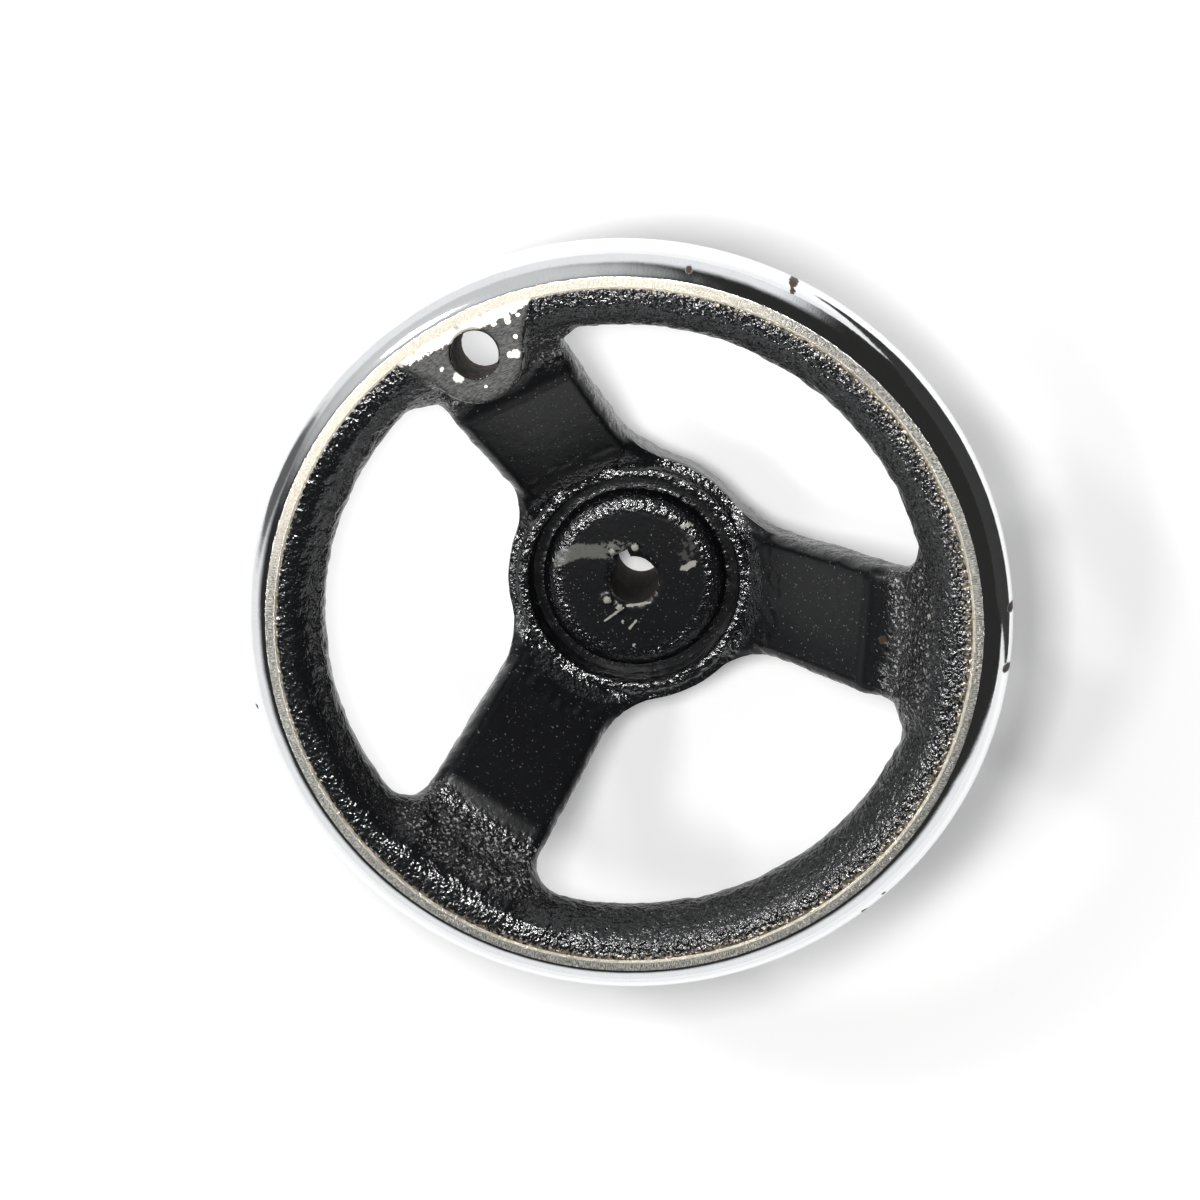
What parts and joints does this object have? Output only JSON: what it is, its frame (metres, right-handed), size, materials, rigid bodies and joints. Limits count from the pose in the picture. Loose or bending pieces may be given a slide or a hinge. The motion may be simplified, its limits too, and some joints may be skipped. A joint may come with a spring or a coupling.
{
  "type": "machine handwheel",
  "caption": "Dished cast-iron handwheel with a turned rim, flat arms, a keyed hub bore and a flat pad with a hole for a turning handle.",
  "frame": {"origin": "on the bore axis, in the plane of the hub's back face", "axes": "+Z along the bore from the back of the hub to the front of the rim, +X through the handle hole and the keyway"},
  "size_m": [0.178, 0.178, 0.087],
  "materials": {
    "casting": "black paint over the cast iron, bright plated finish on the turned rim"
  },
  "bodies": {
    "root": {"handwheel": "casting"}
  },
  "joints": []
}
